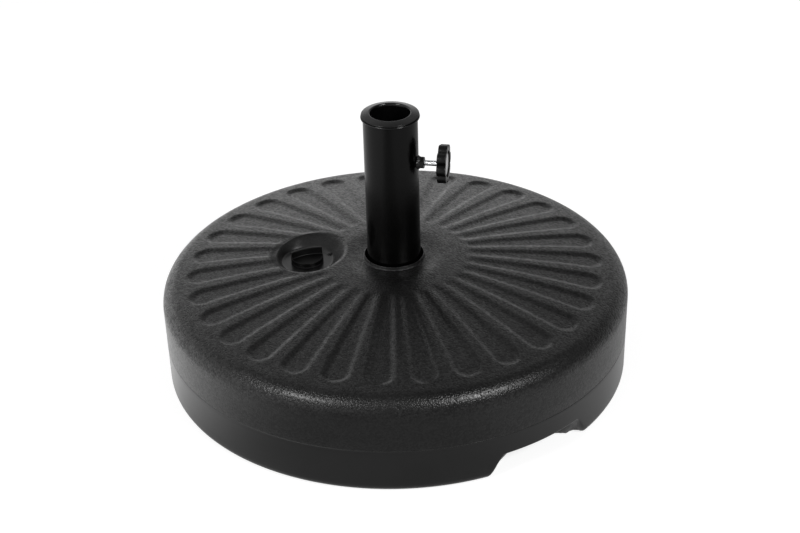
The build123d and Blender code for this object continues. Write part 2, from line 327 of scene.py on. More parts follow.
def satinPlastic(name, dark, light, roughness, specular=0.42):
    spec = satinFinish
    finish, board = newFinish(name)
    place = board.place()
    flow = board.noise(place, spec["flowScale"], 4.0)
    fine = board.noise(place, spec["fineScale"], 2.0)
    loose = board.moved(place, spec["scratchDrift"], spec["driftScale"])
    scratch = board.noise(loose, spec["scratchScale"], 6.0, 0.75).rise(spec["scratchFrom"], spec["scratchTo"])
    shade = board.mixColour(flow.rise(*patchRange), grey(dark), grey(light))
    shade = board.mixColour(scratch * spec["scratchShare"], shade, grey(2 * light))
    rough = roughness + (flow - 0.5) * spec["flowRough"] + scratch * spec["scratchRough"]
    principled(board, {"Base Color": shade, "Roughness": rough, "Specular IOR Level": specular,
                       "Normal": board.bump(fine, spec["fineDepth"])})
    return finish


# The knob's cap: a pale round of painted reflection in a black ring, by the distance from the screw's axis.
faceFinish = dict(reflectionRadius=0.0116, ringRadius=0.0120, reflectionDark=0.56, reflectionLight=0.66, ringShade=0.0015,
                  cloudScale=90.0, cloudRough=0.1, roughness=0.30, specular=0.5)


def knobFacePaintedReflection():
    spec = faceFinish
    finish, board = newFinish("knobFacePaintedReflection")
    place = board.place()
    y, z = board.split(place)[1:]
    away = (y * y + (z - clampZ / mmPerMetre) ** 2) ** 0.5
    cloud = board.noise(place, spec["cloudScale"], 3.0)
    # painted reflection: a pale grey in place of the bright surroundings that the cap's black face mirrors
    paintedReflection = board.mixColour(cloud.rise(*patchRange), grey(spec["reflectionDark"]), grey(spec["reflectionLight"]))
    inRing = away.rise(spec["reflectionRadius"], spec["ringRadius"])
    principled(board, {"Base Color": board.mixColour(inRing, paintedReflection, grey(spec["ringShade"])),
                       "Roughness": spec["roughness"] + (cloud - 0.5) * spec["cloudRough"],
                       "Specular IOR Level": spec["specular"]})
    return finish


# Black paint on steel: glossy, with the soft waves of a sprayed coat and a little dust.
paintFinish = dict(dark=0.0003, light=0.0007, broadScale=24.0, broadRough=0.06, roughness=0.22, specular=0.17,
                   peelScale=420.0, peelDepth=0.00009, dustScale=2400.0, dustFrom=0.72, dustTo=0.8,
                   dustShade=0.02, dustShare=0.2)


def tubePaint():
    spec = paintFinish
    finish, board = newFinish("tubePaint")
    place = board.place()
    peel = board.noise(place, spec["peelScale"], 1.0)
    broad = board.noise(place, spec["broadScale"], 3.0)
    dust = board.noise(place, spec["dustScale"], 1.0).rise(spec["dustFrom"], spec["dustTo"])
    shade = board.mixColour(broad.rise(*patchRange), grey(spec["dark"]), grey(spec["light"]))
    shade = board.mixColour(dust * spec["dustShare"], shade, grey(spec["dustShade"]))
    rough = spec["roughness"] + (broad - 0.5) * spec["broadRough"]
    principled(board, {"Base Color": shade, "Roughness": rough, "Specular IOR Level": spec["specular"],
                       "Normal": board.bump(peel, spec["peelDepth"])})
    return finish


# Bright zinc plating with fine turning marks and slightly dull patches.
zincFinish = dict(bright=(0.92, 0.93, 0.94, 1), dull=(0.80, 0.81, 0.83, 1), dullScale=220.0, dullRough=0.12,
                  roughness=0.20, markScale=2600.0, markDepth=0.00002)


def zincSteel():
    spec = zincFinish
    finish, board = newFinish("zincSteel")
    place = board.place()
    dull = board.noise(place, spec["dullScale"], 4.0)
    marks = board.noise(place, spec["markScale"], 3.0)
    tint = board.mixColour(dull.rise(*patchRange), spec["bright"], spec["dull"])
    rough = spec["roughness"] + dull * spec["dullRough"]
    principled(board, {"Base Color": tint, "Metallic": 1.0, "Roughness": rough,
                       "Normal": board.bump(marks, spec["markDepth"])})
    return finish


# Nut and weld bead under the tube's black paint, so glossy with some roughness from the weld.
nutFinish = dict(dark=0.002, light=0.005, broadScale=150.0, broadFrom=0.35, broadTo=0.7, specular=0.5,
                 roughness=0.24, spatterScale=700.0, spatterRough=0.14, spatterDepth=0.00012)


def nutPaint():
    spec = nutFinish
    finish, board = newFinish("nutPaint")
    place = board.place()
    spatter = board.noise(place, spec["spatterScale"], 4.0, 0.6)
    broad = board.noise(place, spec["broadScale"], 3.0).rise(spec["broadFrom"], spec["broadTo"])
    shade = board.mixColour(broad, grey(spec["dark"]), grey(spec["light"]))
    rough = spec["roughness"] + spatter * spec["spatterRough"]
    principled(board, {"Base Color": shade, "Roughness": rough, "Specular IOR Level": spec["specular"],
                       "Normal": board.bump(spatter, spec["spatterDepth"])})
    return finish


# Dull black rubber with fine specks.
rubberFinish = dict(dark=0.012, light=0.03, roughness=0.65, specular=0.3,
                    speckScale=1200.0, speckRough=0.2, speckDepth=0.00008)


def sealRubber():
    spec = rubberFinish
    finish, board = newFinish("sealRubber")
    place = board.place()
    speck = board.noise(place, spec["speckScale"], 4.0, 0.7)
    shade = board.mixColour(speck, grey(spec["dark"]), grey(spec["light"]))
    rough = spec["roughness"] + speck * spec["speckRough"]
    principled(board, {"Base Color": shade, "Roughness": rough, "Specular IOR Level": spec["specular"],
                       "Normal": board.bump(speck, spec["speckDepth"])})
    return finish


paintBlack, zincBright, nutBlack, rubberBlack = tubePaint(), zincSteel(), nutPaint(), sealRubber()
capBlack = satinPlastic("capPlastic", dark=0.0006, light=0.0012, roughness=0.40, specular=0.20)
collarBlack = satinPlastic("collarPlastic", dark=0.0010, light=0.0022, roughness=0.20)
knobBlack = satinPlastic("knobPlastic", dark=0.0008, light=0.0018, roughness=0.26, specular=0.30)
# the knob cap's finish, whose pale round is painted reflection
knobPaintedReflection = knobFacePaintedReflection()
print("finishes made")

# Ballast tank: crown, flutes, hand grips, well and underside in one skin. A flute's columns are degrees from
# its middle, and rows are (from, to, how many), at the parting line (height over it, share of its depth).
tank = dict(
    wallRadius=250.0, footRadius=248.0, rimHeight=107.2, rimRound=20.0, wellCrown=133.0, crownBulge=3.5,
    wellRadius=30.0, wellGrip=30.0, wellClearance=0.15, wellFloorRound=1.5,
    lipRadius=31.3, lipWidth=1.0, lipHeight=133.2, lipRound=0.3, lipFoot=33.0, lipFootRound=1.2, lipEnd=40.0,
    lipSink=3.4, lipSinkReach=26.0,
    crownRows=((42, 74, 8), (76, 96, 11), (100, 204, 24), (205.5, 231, 18)),
    fluteCount=30, fluteColumns=(0, 0.9, 1.7, 2.2, 2.6, 3.0, 3.4, 3.8, 4.2, 4.7, 5.3, 6.0),
    fluteSpread=0.133, fluteStart=75.0, fluteEnd=208.5, fluteWall=7.65, fluteDepth=0.0115,
    fluteFadeFrom=76.0, fluteFade=10.0, dishFade=5.0,
    gripDirections=(-43.2, 136.8), gripHeight=25.7, gripHalf=65.0, gripEase=18.0, gripDepth=44.0,
    gripTaper=1.0, partingHeight=50.0, partingDepth=0.35,
    partingRows=((14, 0), (0.9, 0), (0.35, 0.3), (0, 1), (-0.35, 0.3), (-0.9, 0)),
    lowerRows=(0.12, 1, 8), footRound=9.0, archRound=2.5, footRows=(11, 90, 8), gripRing=232.0, gripRows=8,
    underside=4.0, undersideSteps=(4, 5, 9),
    pocketRadius=24.0, pocketHeight=12.0, boltHole=4.5, pitFloor=92.0, snap=2.6,
)
# The dish's rim lies nearer the pole and the front than its floor, and is a little longer in Y. Its wall's
# rows are shares of the way from the floor's edge to the rim, and its floor's rows (from, to, how many).
dish = dict(
    floor=116.0, floorRadius=27.5, rimX=37.3, rimY=41.9, rimShift=(5.7, -1.7), rimEase=3.0, floorEase=1.0,
    edgeShare=1.2, edgeTuck=0.5, edgeLift=0.02, wall=4.0,
    wallRows=(1.3, 1.2, 1.16, 1.12, 1.08, 1.045, 1.02, 1.0, 0.98, 0.955, 0.93, 0.9, 0.86, 0.78, 0.64, 0.48,
              0.34, 0.25, 0.18, 0.13, 0.09, 0.05, 0.02, 0),
    floorRows=(27, 22, 9), neckRows=(20, 17), neckRadius=15.0, neckLength=18.0, neckWall=3.0, neckRound=0.4,
    lipRound=0.8, ventDistance=26.9, ventDirection=36.0, ventRadius=1.3, ventRound=0.15, ventFlange=1.9,
    flangeRound=0.25, ventLift=0.35, ventDepth=2.4, ventFoot=2.7, pitDepth=3.0, pitEase=1.2,
)
ventAim = math.radians(dish["ventDirection"])
ventX, ventY = fillerX + dish["ventDistance"] * math.cos(ventAim), dish["ventDistance"] * math.sin(ventAim)


# Rings that pass from the floor's circle at share 0 to the rim's ellipse at share 1 and on past it.
def dishRing(share, angle):
    reachX = dish["floorRadius"] + share * (dish["rimX"] - dish["floorRadius"])
    reachY = dish["floorRadius"] + share * (dish["rimY"] - dish["floorRadius"])
    shiftX, shiftY = dish["rimShift"]
    return fillerX + share * shiftX + reachX * np.cos(angle), share * shiftY + reachY * np.sin(angle)


edgeX, edgeY = fillerX + dish["edgeShare"] * dish["rimShift"][0], dish["edgeShare"] * dish["rimShift"][1]
edgeReach = [dishRing(dish["edgeShare"], 0)[0] - edgeX, dishRing(dish["edgeShare"], np.pi / 2)[1] - edgeY]


# Distance from the middle of the dish's edge as a share of the edge's own: 1 on it.
def dishShare(x, y):
    return np.hypot((x - edgeX) / edgeReach[0], (y - edgeY) / edgeReach[1])


# A parabola over the straight line from the well's edge to the rim, less a smooth step down to the lip.
def crownHeight(distance):
    share = (distance - tank["wellRadius"]) / (tank["wallRadius"] - tank["wellRadius"])
    fall = tank["wellCrown"] - tank["rimHeight"]
    sunk = tank["lipSink"] * (1 - smooth((distance - tank["lipFoot"]) / tank["lipSinkReach"]))
    return tank["rimHeight"] + fall * (1 - share) + 4 * tank["crownBulge"] * share * (1 - share) - sunk


# Depth times a smooth step of the distance to the flute's floor, a wedge with a round outer end.
def fluteDepth(x, y):
    distance, angle = np.hypot(x, y), np.arctan2(y, x)
    step = fullTurn / tank["fluteCount"]
    across = distance * np.sin((angle + step / 2) % step - step / 2)
    past = np.maximum(distance - tank["fluteEnd"], 0)
    halfFloor = tank["fluteSpread"] * (np.minimum(distance, tank["fluteEnd"]) - tank["fluteStart"]) / 2
    wall = 1 - smooth((np.hypot(across, past) - halfFloor) / tank["fluteWall"])
    fromWell = smooth((distance - tank["fluteFadeFrom"]) / tank["fluteFade"])
    fromDish = smooth((dishShare(x, y) - 1) * edgeReach[1] / tank["dishFade"])
    return tank["fluteDepth"] * distance * wall * fromWell * fromDish


# Height of the arch over the grips: a smooth step of the distance in from their ends, which close inwards.
def gripLift(distance, angle):
    lift = 0 * (distance + angle)
    half = tank["gripHalf"] - tank["gripTaper"] * np.maximum(tank["footRadius"] - distance, 0)
    for direction in tank["gripDirections"]:
        off = angle - math.radians(direction)
        across = np.where(np.cos(off) > 0, np.abs(distance * np.sin(off)), 2 * tank["gripHalf"])
        lift = lift + tank["gripHeight"] * smooth((half - across) / tank["gripEase"])
    return lift


# The crown's grid. Points near the dish's edge move onto it, and those inside it sink out of sight.
def crownGrid(distance, angle):
    x, y = distance * np.cos(angle), distance * np.sin(angle)
    away = dishShare(x, y)
    snap = tank["snap"] / edgeReach[0]
    pull = np.where(np.abs(away - 1) < snap, 1 / away, 1.0)
    x, y = edgeX + (x - edgeX) * pull, edgeY + (y - edgeY) * pull
    height = crownHeight(np.hypot(x, y)) - fluteDepth(x, y)
    return np.stack([x, y, np.where(away < 1 - snap, tank["pitFloor"], height)], -1)


# Rows run from the well's floor over the crown and down the wall to the underside; columns crowd at the
# flutes' walls. The underside's first rows lie close together, so that its shading stays flat.
def tankSkin():
    step = 360 / tank["fluteCount"]
    halfFlute = np.array(tank["fluteColumns"])
    oneFlute = np.concatenate([halfFlute, step - halfFlute[-2:0:-1]])
    angle = (np.arange(tank["fluteCount"])[:, None] * step + oneFlute).ravel()
    angle = np.radians(np.append(angle, 360.0))
    level = 0 * angle
    wellFoot = tubeHigh[0] + tank["wellClearance"]
    wellFloor = tubeLow[2]
    well = outline([
        (tank["boltHole"], wellFloor, 0),
        (wellFoot, wellFloor, tank["wellFloorRound"]),
        (wellFoot, wellFloor + tank["wellGrip"], 0),
        (tank["lipRadius"], tank["lipHeight"], tank["lipRound"]),
        (tank["lipRadius"] + tank["lipWidth"], tank["lipHeight"], tank["lipRound"]),
        (tank["lipFoot"], crownHeight(tank["lipFoot"]), tank["lipFootRound"]),
        (tank["lipEnd"], crownHeight(tank["lipEnd"]), 0),
    ], closed=False, arcStep=11)
    crown = np.concatenate([np.linspace(*rows) for rows in tank["crownRows"]])[:, None]
    crownEnd = crown[-1, 0]
    rim = outline([
        (crownEnd, crownHeight(crownEnd), 0),
        (tank["wallRadius"], tank["rimHeight"], tank["rimRound"]),
        (tank["footRadius"], 0, 0),
    ], closed=False, arcStep=8)[1:-1]
    lean = (tank["wallRadius"] - tank["footRadius"]) / tank["rimHeight"]
    overLine, cut = np.array(tank["partingRows"]).T
    groove = tank["partingHeight"] + overLine
    grooveIn = tank["footRadius"] + lean * groove - tank["partingDepth"] * cut
    lift = gripLift(tank["footRadius"], angle)
    bend = tank["footRound"] + (tank["archRound"] - tank["footRound"]) * lift / tank["gripHeight"]
    share = np.linspace(*tank["lowerRows"])[:, None]
    lower = groove[-1] + (lift + bend - groove[-1]) * share
    turnDown = np.radians(np.linspace(*tank["footRows"]))[:, None]
    footOut = tank["footRadius"] + lean * (lift + bend) - bend
    gripEnd = tank["footRadius"] - tank["gripDepth"]
    ringOut = np.linspace(tank["gripRing"], gripEnd, tank["gripRows"])[:, None]
    floor = np.array([
        *[(gripEnd - inwards, tank["underside"]) for inwards in tank["undersideSteps"]],
        (tank["pocketRadius"], tank["underside"]),
        (tank["pocketRadius"], tank["pocketHeight"]),
        (tank["boltHole"], tank["pocketHeight"]),
        (tank["boltHole"], wellFloor),
    ])
    distance = np.vstack([
        rim[:, :1] + level, grooveIn[:, None] + level, tank["footRadius"] + lean * lower,
        footOut + bend * np.cos(turnDown), ringOut + level, floor[:, :1] + level,
    ])
    height = np.vstack([
        rim[:, 1:] + level, groove[:, None] + level, lower,
        lift + bend * (1 - np.sin(turnDown)), gripLift(ringOut, angle), floor[:, 1:] + level,
    ])
    outside = np.stack([distance * np.cos(angle), distance * np.sin(angle), height], -1)
    inside = np.stack([well[:, :1] * np.cos(angle), well[:, :1] * np.sin(angle), well[:, 1:] + level], -1)
    return np.concatenate([inside, crownGrid(crown, angle), outside])


# The filler dish: the lower of the crown and the straight wall from floor to rim, the higher of that and the
# floor. Its outermost ring is tucked under the tank's skin, and a pit in its floor holds the vent.
def dishSkin():
    angle = np.linspace(0, fullTurn, 241)
    share = np.array(dish["wallRows"])[:, None]
    x, y = dishRing(share, angle)
    inner = np.concatenate([np.linspace(*dish["floorRows"]), dish["neckRows"]])[:, None]
    x = np.vstack([x, fillerX + inner * np.cos(angle)])
    y = np.vstack([y, inner * np.sin(angle)])
    share = np.vstack([share, (inner - dish["floorRadius"]) / dish["floorRadius"]])
    dome = crownHeight(np.hypot(x, y))
    wall = dish["floor"] + share * (crownHeight(np.hypot(*dishRing(1.0, angle))) - dish["floor"])
    height = softMax(softMin(dome, wall, dish["rimEase"]), dish["floor"] + 0 * dome, dish["floorEase"])
    height[:2] = dome[:2] + np.array([[-dish["edgeTuck"]], [dish["edgeLift"]]])
    fromVent = np.hypot(x - ventX, y - ventY)
    height = height - dish["pitDepth"] * (1 - smooth((fromVent - dish["ventRadius"]) / dish["pitEase"]))
    neckFoot, under = dish["floor"] - dish["neckLength"], dish["floor"] - dish["wall"]
    outer = dish["neckRadius"] + dish["neckWall"]
    neck = outline([
        (dish["neckRows"][-1], dish["floor"], 0),
        (dish["neckRadius"], dish["floor"], dish["lipRound"]),
        (dish["neckRadius"], neckFoot, dish["neckRound"]),
        (outer, neckFoot, dish["neckRound"]),
        (outer, under, 0),
        (dish["floorRadius"], under, 0),
    ], closed=False)[1:]
    low = spin(neck, 240, fillerX)
    top = np.stack([x, y, height], -1)
    edge = top[1:2] - np.array([0, 0, dish["wall"]])
    return np.concatenate([edge, top, low, edge])


# A thin flange round the vent with a blind hole in it.
def ventRim():
    hole, flange = dish["ventRadius"], dish["ventFlange"]
    top, pit = dish["floor"] + dish["ventLift"], dish["floor"] - dish["ventDepth"]
    foot = dish["floor"] - dish["ventFoot"]
    ring = outline([
        (0, pit, 0), (hole, pit, 0), (hole, top, dish["ventRound"]), (flange, top, dish["flangeRound"]),
        (flange, foot, 0), (0, foot, 0),
    ], closed=False)
    return spin(ring, 40) + np.array([ventX, ventY, 0])


tankBlack = tankPlastic()
makePiece("tankSkin", [tankSkin()], tankBlack, "base", ["tank"], sharp=50)
makePiece("dishSkin", [dishSkin(), ventRim()], tankBlack, "base", sharp=50)

# Filler cap: a disc with a thin raised rim, a threaded plug below and a bowed finger bar above.
cap = dict(
    topRadius=17.4, height=4.6, edgeRound=0.4, sideDraft=0.1, footRound=0.1, rimWidth=0.9, rimSlope=0.2,
    rimRound=0.2, pocketDepth=0.5, pocketRound=0.3, plugRadius=14.05, plugWall=2.0, plugLap=0.2,
    plugChamfer=0.6, boreChamfer=0.3, threadRise=0.5, threadPitch=4.0, threadFade=2.0, threadSteep=1.6,
    threadNarrow=0.5, barHalf=17.0, barThick=1.6, barOffset=0.8, barBow=3.2, barFlare=0.9, barRound=0.5,
    barDirection=30.0, barDrop=0.7, barSink=0.1,
)
seal = dict(inset=0.4, width=2.0, innerRound=0.3, outerRound=0.5)


# A profile turned about the filler's axis: flat pocket, rim, side and flat foot.
def capDisc():
    bottom = sealHigh[2]
    top, pocket = bottom + cap["height"], bottom + cap["height"] - cap["pocketDepth"]
    inner = cap["topRadius"] - cap["rimWidth"]
    disc = outline([
        (0, pocket, 0), (inner, pocket, cap["pocketRound"]), (inner + cap["rimSlope"], top, cap["rimRound"]),
        (cap["topRadius"], top, cap["edgeRound"]),
        (cap["topRadius"] + cap["sideDraft"], bottom, cap["footRound"]), (0, bottom, 0),
    ], closed=False)
    return spin(disc, 96, fillerX)


# A tube whose outside swells along a helix: radius + rise * ridge of (height / pitch - turn).
def capPlug():
    bottom, top = capLow[2], sealHigh[2] + cap["plugLap"]
    start = bottom + cap["plugChamfer"]
    height = np.linspace(start, top, 40)[:, None]
    angle = np.linspace(0, fullTurn, 97)
    phase = (height - bottom) / cap["threadPitch"] - angle / fullTurn
    ridge = smooth(cap["threadSteep"] * np.cos(fullTurn * phase) - cap["threadNarrow"])
    fade = smooth((height - start) / cap["threadFade"]) * smooth((top - height) / cap["threadFade"])
    wall = cap["plugRadius"] + cap["threadRise"] * ridge * fade
    inside, chamfer = cap["plugRadius"] - cap["plugWall"], cap["boreChamfer"]
    end = spin(np.array([
        (inside, top), (inside, bottom + chamfer), (inside + chamfer, bottom),
        (cap["plugRadius"] - cap["plugChamfer"], bottom),
    ]), 96, fillerX)
    side = np.stack([fillerX + wall * np.cos(angle), wall * np.sin(angle), height + 0 * angle], -1)
    return np.concatenate([end, side, end[:1]])


# Slices of a bowed blade: the middle lies at offset + bow * (1 - share²), the foot flares, the top draws in.
def capBar():
    top, foot = capHigh[2] - cap["barDrop"], sealHigh[2] + cap["height"] - cap["barSink"]
    share = np.linspace(-1, 1, 41)
    bend = np.radians(np.linspace(0, 90, 6))[:, None]
    grow = np.vstack([cap["barFlare"] * (1 - np.sin(bend)), -cap["barRound"] * (1 - np.cos(bend))])
    flare, crown = cap["barFlare"] * (1 - np.cos(bend)), cap["barRound"] * (1 - np.sin(bend))
    level = np.vstack([foot + flare, top - crown])
    middle = cap["barOffset"] + cap["barBow"] * (1 - share**2) + 0 * grow
    along = (cap["barHalf"] + np.minimum(grow, 0)) * share
    near, far = middle - cap["barThick"] - grow, middle + cap["barThick"] + grow
    x = np.hstack([along, along[:, ::-1], along[:, :1]])
    y = np.hstack([near, far[:, ::-1], near[:, :1]])
    spine = np.hstack([middle, middle[:, ::-1], middle[:, :1]])
    y = np.vstack([spine[:1], y, spine[-1:]])
    x, level = np.vstack([x[:1], x, x[-1:]]), np.vstack([level[:1], level, level[-1:]])
    aim = math.radians(cap["barDirection"])
    turnedX = fillerX + x * math.cos(aim) - y * math.sin(aim)
    return np.stack([turnedX, x * math.sin(aim) + y * math.cos(aim), level + 0 * x], -1)


# A flat ring with round edges, turned about the filler's axis.
def sealRing():
    outer = cap["topRadius"] - seal["inset"]
    inner = outer - seal["width"]
    return spin(outline([
        (inner, sealLow[2], seal["innerRound"]), (outer, sealLow[2], seal["outerRound"]),
        (outer, sealHigh[2], seal["outerRound"]), (inner, sealHigh[2], seal["innerRound"]),
    ]), 96, fillerX)


makePiece("fillerCap", [capDisc(), capPlug(), capBar()], capBlack, "filler_cap",
          ["filler_cap"])
makePiece("sealRing", [sealRing()], rubberBlack, "cap_seal", ["cap_seal"])

# Pole tube and the collar pressed into its end.
tube = dict(wall=1.5, endRound=0.4)
collar = dict(
    boreRadius=20.4, boreRound=0.2, lipRadius=21.2, lipDepth=3.6, lipDrop=0.5, lipRound=1.5,
    edgeRadius=30.2, edgeRound=0.25, edgeHeight=0.3, edgeFoot=0.1, fall=2.9, grooveDepth=1.0, grooveWidth=1.5,
    ringRadius=30.75, ringRound=0.9, skirt=0.6, skirtRound=0.1, sleeve=28.0, sleeveRound=0.5, clearance=0.1,
)


# A wall between two radii, turned about the upright axis.
def tubeShell():
    outer, low, high = tubeHigh[0], tubeLow[2], tubeHigh[2]
    inner = outer - tube["wall"]
    return spin(outline([
        (inner, low, 0), (outer, low, tube["endRound"]), (outer, high, tube["endRound"]), (inner, high, 0),
    ]), 128)


# A shallow cone falls from the lip to a sharp edge; below a fine groove, a rounded ring sits on the tube.
def collarRing():
    end, edge = tubeHigh[2], collarTop - collar["fall"]
    skirtIn, sleeveOut = tubeHigh[0] + collar["clearance"], tubeHigh[0] - tube["wall"] - collar["clearance"]
    sleeveFoot, skirtFoot = end - collar["sleeve"], end - collar["skirt"]
    grooveTop = edge - collar["edgeHeight"]
    groove, grooveIn = grooveTop - collar["grooveWidth"], collar["edgeRadius"] - collar["grooveDepth"]
    return spin(outline([
        (collar["boreRadius"], sleeveFoot, collar["sleeveRound"]),
        (sleeveOut, sleeveFoot, collar["sleeveRound"]),
        (sleeveOut, end, 0),
        (skirtIn, end, 0),
        (skirtIn, skirtFoot, collar["skirtRound"]),
        (collar["ringRadius"], skirtFoot, collar["ringRound"]),
        (collar["ringRadius"], groove, collar["ringRound"]),
        (grooveIn, groove, 0),
        (grooveIn, grooveTop, 0),
        (collar["edgeRadius"], grooveTop, collar["edgeFoot"]),
        (collar["edgeRadius"], edge, collar["edgeRound"]),
        (collar["lipRadius"], collarTop - collar["lipDrop"], collar["lipRound"]),
        (collar["boreRadius"], collarTop - collar["lipDepth"], collar["boreRound"]),
    ]), 160)


makePiece("tubeShell", [tubeShell()], paintBlack, "base", ["pole_tube"])
makePiece("collarRing", [collarRing()], collarBlack, "base", ["top_collar"])

# Clamp: a hexagon nut welded to the tube, an M6 screw and a knob with soft lobes. Rows of a chamfer are
# depths below the hexagon's face.
nut = dict(
    width=11.8, coneInset=0.1, coneSlope=1.6, chamferRows=(2.0, 1.4, 0.9, 0.5, 0.2, 0.0), sink=1.2,
    hole=3.05, holeFlare=0.5, holeDepth=1.5, weldFoot=7.8, weldTop=5.7, weldReach=4.4, weldPower=1.5,
    weldSink=0.4, weldGap=0.4, weldLumps=13, lumpHeight=0.10, weldWaves=5, waveHeight=0.06,
)
screw = dict(
    radius=3.0, pitch=1.0, pitchRows=8, threadDepth=0.12, crestFrom=0.12, crestSpan=0.74, tip=1.0,
    headWidth=10.0, headHeight=4.0, coneInset=0.0, coneSlope=1.6, chamferRows=(0.8, 0.3, 0.0),
)
knob = dict(
    radius=21.0, valley=16.8, lobes=8, lobeRadius=6.7, blend=0.5, edgeRound=1.0, backInset=0.9, screwGap=0.1,
    capGap=0.2, seatGap=0.02, grooveWidth=1.6, grooveDepth=1.2, grooveEdge=0.3, grooveCorner=0.2,
    stepRound=0.1,
)
knobCap = dict(domeShare=0.9, domeFall=0.5, domeEnd=0.41, edgeFall=0.55, edgeRound=0.3, footRound=0.1)


# The lesser of a hexagon's radius and that of a cone which widens with the depth below the hexagon's face.
def chamferedHex(width, spec, depth, angle):
    return np.minimum(hexReach(width, angle), width / 2 - spec["coneInset"] + depth * spec["coneSlope"])


# Rows run up the chamfered hexagon and back through its flared hole.
def nutBody():
    start, hole = tubeHigh[0] - nut["sink"], nut["hole"]
    angle = np.linspace(0, fullTurn, 121)
    depth = np.array([nutFace - start, *nut["chamferRows"]])[:, None]
    body = aroundScrew(nutFace - depth, chamferedHex(nut["width"], nut, depth, angle), angle)
    bore = spinOnScrew(np.array([
        (hole + nut["holeFlare"], nutFace), (hole, nutFace - nut["holeDepth"]), (hole, start),
    ]), 120)
    return np.concatenate([bore[-1:], body, bore])


# A fillet of weld from the tube up the nut: its radius falls as (1 - share) to a power, with lumps round it.
def weldBead():
    angle = np.linspace(0, fullTurn, 121)
    share = np.linspace(0, 1, 12)[:, None]
    lumps = nut["lumpHeight"] * np.sin(nut["weldLumps"] * angle)
    waves = nut["waveHeight"] * np.sin(nut["weldWaves"] * angle + 1)
    fall = (1 - share) ** nut["weldPower"] * (1 + lumps + waves)
    reach = nut["weldTop"] + (nut["weldFoot"] - nut["weldTop"]) * fall
    skin = np.sqrt(tubeHigh[0] ** 2 - (reach * np.sin(angle)) ** 2) - nut["weldSink"]
    bead = aroundScrew(skin + nut["weldReach"] * share, reach, angle)
    core = aroundScrew(bead[[-1, 0], :, 0], nut["hole"] + nut["weldGap"] + 0 * angle, angle)
    return np.concatenate([bead, core, bead[:1]])


# A rod whose radius is a triangle wave of (length / pitch - turn): the thread.
def screwRod():
    start, seat = screwLow[0], screwHigh[0] - screw["headHeight"]
    rows = int((seat - start) / screw["pitch"] * screw["pitchRows"]) + 1
    along = np.linspace(start, seat, rows)[:, None]
    angle = np.linspace(0, fullTurn, 49)
    wave = np.abs(((along / screw["pitch"] - angle / fullTurn) % 1) * 2 - 1)
    crest = np.clip((wave - screw["crestFrom"]) / screw["crestSpan"], 0, 1)
    reach = screw["radius"] - screw["threadDepth"] * crest
    reach = np.minimum(reach, screw["radius"] - screw["tip"] + (along - start))
    rod = aroundScrew(along, reach, angle)
    return np.concatenate([aroundScrew(start, 0, angle[None]), rod, aroundScrew(seat, 0, angle[None])])


# The chamfered hexagon from its seat to its face, drawn in to the axis at both ends.
def screwHead():
    angle = np.linspace(0, fullTurn, 121)
    depth = np.array([screw["headHeight"], *screw["chamferRows"]])[:, None]
    side = aroundScrew(screwHigh[0] - depth, chamferedHex(screw["headWidth"], screw, depth, angle), angle)
    ends = aroundScrew(screwHigh[0] - depth[[0, -1]], 0, angle)
    return np.concatenate([ends[:1], side, ends[1:]])


# Lobes are circles round a disc, one of them at the top; the eased greater of the two radii is the outline.
def lobeReach(angle):
    step = fullTurn / knob["lobes"]
    off = (angle + step / 2) % step - step / 2
    centre = knob["radius"] - knob["lobeRadius"]
    across = np.minimum(np.abs(centre * np.sin(off)), knob["lobeRadius"])
    lobe = centre * np.cos(off) + np.sqrt(knob["lobeRadius"] ** 2 - across**2)
    return softMax(lobe, knob["valley"] + 0 * lobe, knob["blend"])


# The lobes' outline carried from back to face with quarter rounds, then a turned groove, seat and hole.
def knobGrip():
    back, face = knobLow[0] + knob["backInset"], knobHigh[0]
    seat, hole = knobCapLow[0] - knob["seatGap"], screw["radius"] + knob["screwGap"]
    angle = np.linspace(0, fullTurn, 257)
    bend = np.radians(np.linspace(0, 90, 7))[:, None]
    ease = knob["edgeRound"]
    reach = lobeReach(angle)
    outIn = np.vstack([reach - ease * (1 - np.sin(bend)), reach - ease * (1 - np.cos(bend))])
    outAlong = np.vstack([back + ease * (1 - np.cos(bend)), face - ease * (1 - np.sin(bend))])
    groove = (knobCapHigh[1] - knobCapLow[1]) / 2 + knob["capGap"]
    grooveOut, grooveFloor = groove + knob["grooveWidth"], face - knob["grooveDepth"]
    inner = spinOnScrew(outline([
        (grooveOut, face, knob["grooveEdge"]), (grooveOut, grooveFloor, knob["grooveCorner"]),
        (groove, grooveFloor, knob["stepRound"]), (groove, seat, 0), (hole, seat, 0), (hole, back, 0),
    ], closed=False), 256)
    return np.concatenate([inner[-1:], aroundScrew(outAlong, outIn, angle), inner])


# A shallow dome that falls as share² from the axis, with a rounded edge and a flat back.
def knobCapDisc():
    radius, seat, face = (knobCapHigh[1] - knobCapLow[1]) / 2, knobCapLow[0], knobCapHigh[0]
    share = np.linspace(0, knobCap["domeShare"], 10)
    domed = np.stack([radius * share, face - knobCap["domeFall"] * share**2], 1)
    edge = outline([
        (radius * knobCap["domeShare"], face - knobCap["domeEnd"], 0),
        (radius, face - knobCap["edgeFall"], knobCap["edgeRound"]),
        (radius, seat, knobCap["footRound"]),
        (0, seat, 0),
    ], closed=False)
    return spinOnScrew(np.vstack([domed, edge[1:]]), 96)


makePiece("clampNut", [nutBody(), weldBead()], nutBlack, "base", ["clamp_nut"], sharp=30)
makePiece("clampScrew", [screwRod(), screwHead()], zincBright, "clamp_knob", ["clamp_screw"],
          sharp=30)
makePiece("clampKnob", [knobGrip()], knobBlack, "clamp_knob", ["clamp_knob"])
makePiece("knobCapDisc", [knobCapDisc()], knobPaintedReflection, "knob_cap", ["knob_cap"])

# Bolt under the tank: hexagon head with a chamfered face, below a plain shank.
bolt = dict(width=13.0, headHeight=5.3, coneInset=0.2, coneSlope=1.7, chamferRows=(0.0, 0.3, 0.8), shank=4.0,
            shankLap=0.2, endRound=0.6)


